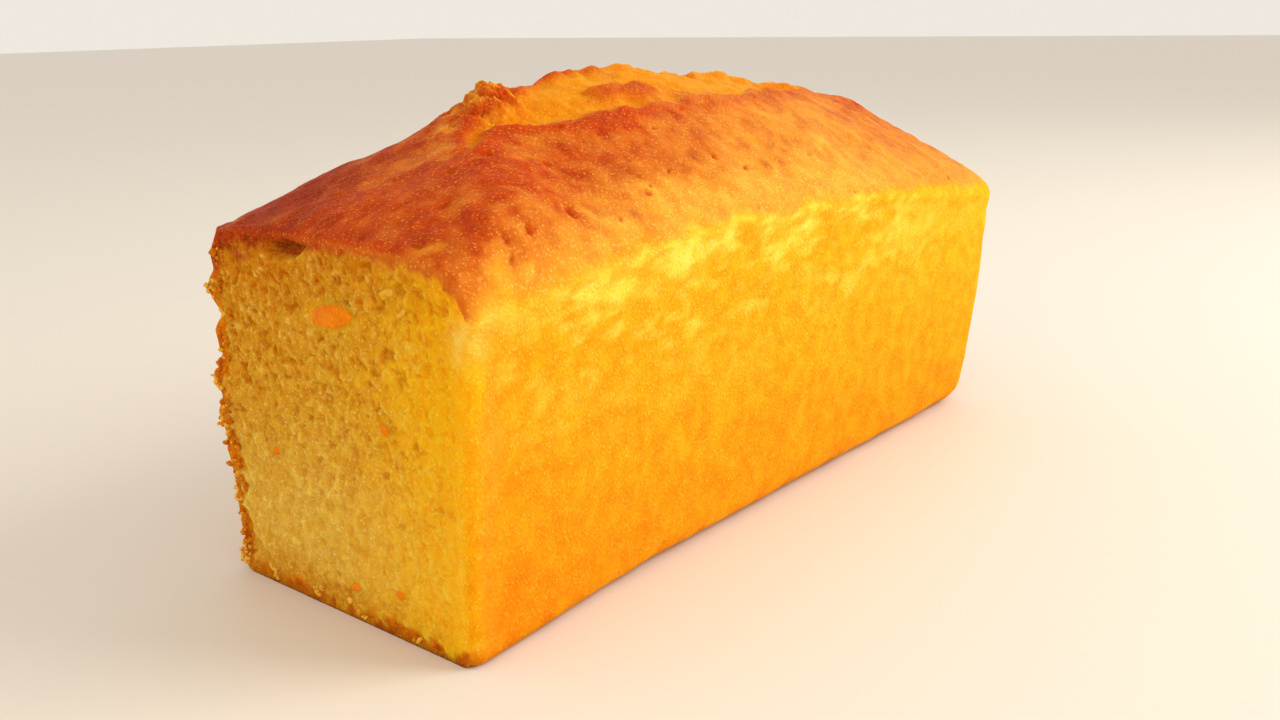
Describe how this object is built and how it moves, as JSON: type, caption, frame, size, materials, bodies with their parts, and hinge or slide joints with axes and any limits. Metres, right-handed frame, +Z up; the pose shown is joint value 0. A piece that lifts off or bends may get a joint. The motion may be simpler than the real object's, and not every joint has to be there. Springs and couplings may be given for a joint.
{
  "type": "pound cake",
  "caption": "Loaf-shaped butter cake with a domed crust split along the ridge, one end sliced off to show the yellow crumb with bits of peel.",
  "frame": {"origin": "under the middle of the loaf's box, on the surface it stands on", "axes": "+Z up; X along the loaf with the cut end at -X; -Y is the long side that the picture shows"},
  "size_m": [0.1864, 0.068, 0.084],
  "materials": {
    "cake": "matte golden-brown crust over a pale yellow crumb"
  },
  "bodies": {
    "root": {"loaf": "cake"}
  },
  "joints": []
}
